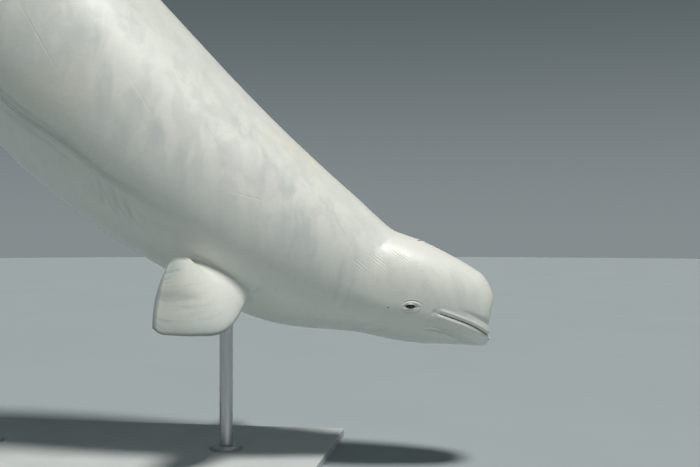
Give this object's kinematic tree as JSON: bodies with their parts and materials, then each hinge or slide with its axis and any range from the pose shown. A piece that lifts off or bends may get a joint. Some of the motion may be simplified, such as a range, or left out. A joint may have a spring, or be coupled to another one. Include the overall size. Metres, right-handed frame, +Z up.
{
  "type": "whale model",
  "caption": "Life-size still model of an adult white whale diving with its head down, on a flat base with two upright rods.",
  "frame": {"origin": "Middle of the underside of the whole model's bounding box, on the floor under the stand.", "axes": "+X is the way the whale heads, +Y is its left, +Z is up. The whale is the same on both sides of the plane Y = 0."},
  "size_m": [3.3157, 1.1832, 2.8394],
  "materials": {
    "skin": "satin, cream white with pale grey mottling",
    "eye": "gloss, near black",
    "base": "matt pale grey",
    "rod": "fine brushed"
  },
  "bodies": {
    "root": {"head": "skin", "neck": "skin", "chest": "skin", "torso": "skin", "tail": "skin", "flipper_right": "skin", "flipper_left": "skin", "fluke_right": "skin", "fluke_left": "skin", "eye_right": "eye", "eye_left": "eye", "stand_base": "base", "stand_collar_front": "rod", "stand_collar_rear": "rod", "stand_rod_front": "rod", "stand_rod_rear": "rod"}
  },
  "joints": []
}
